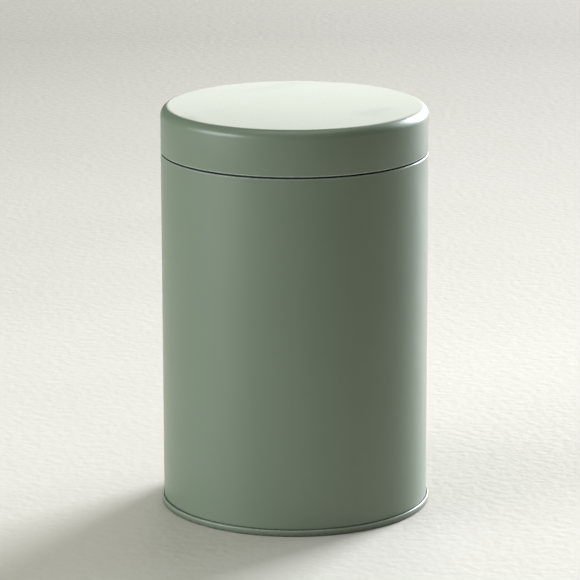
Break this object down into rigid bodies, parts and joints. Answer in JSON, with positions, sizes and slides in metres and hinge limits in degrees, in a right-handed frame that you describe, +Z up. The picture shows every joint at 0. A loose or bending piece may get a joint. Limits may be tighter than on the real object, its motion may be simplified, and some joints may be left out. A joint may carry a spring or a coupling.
{
  "type": "coffee tin",
  "caption": "Tall round tin with a flush slip lid, a press-in inner lid with a turned knob, a rolled neck and a seamed bottom end.",
  "frame": {"origin": "middle of the base, on the plane that the bottom seam stands on", "axes": "+Z up along the tin's axis towards the lid; -Y is the front; the side seam is at the back, on +Y"},
  "size_m": [0.1006, 0.1006, 0.151],
  "materials": {
    "green_paint": "satin sage green coating on tinplate",
    "tinplate": "bare tinplate, fine rolled grain",
    "silicone": "translucent white silicone",
    "sealing_compound": "cured can-seam compound",
    "turned_aluminium": "fine turned",
    "screw_steel": "zinc-plated steel"
  },
  "bodies": {
    "tin": {"body_wall": "green_paint", "bottom_end": "green_paint", "seam_compound": "sealing_compound", "neck_ring": "tinplate"},
    "inner_seal": {"inner_lid_seal": "silicone"},
    "inner_lid": {"inner_lid_pan": "tinplate", "knob": "turned_aluminium", "knob_screw": "screw_steel", "screw_washer": "screw_steel"},
    "lid": {"outer_lid": "green_paint"}
  },
  "joints": [
    {"name": "inner_lid_lift", "type": "slide", "parent": "tin", "child": "inner_seal", "axis": [0, 0, 1], "range_m": [0, 0.09]},
    {"name": "lids_turn", "type": "hinge", "parent": "inner_seal", "child": "inner_lid", "pos_m": [0, 0, 0.145], "axis": [0, 0, 1], "continuous": true},
    {"name": "lid_lift", "type": "slide", "parent": "inner_lid", "child": "lid", "axis": [0, 0, 1], "range_m": [0, 0.06]}
  ]
}
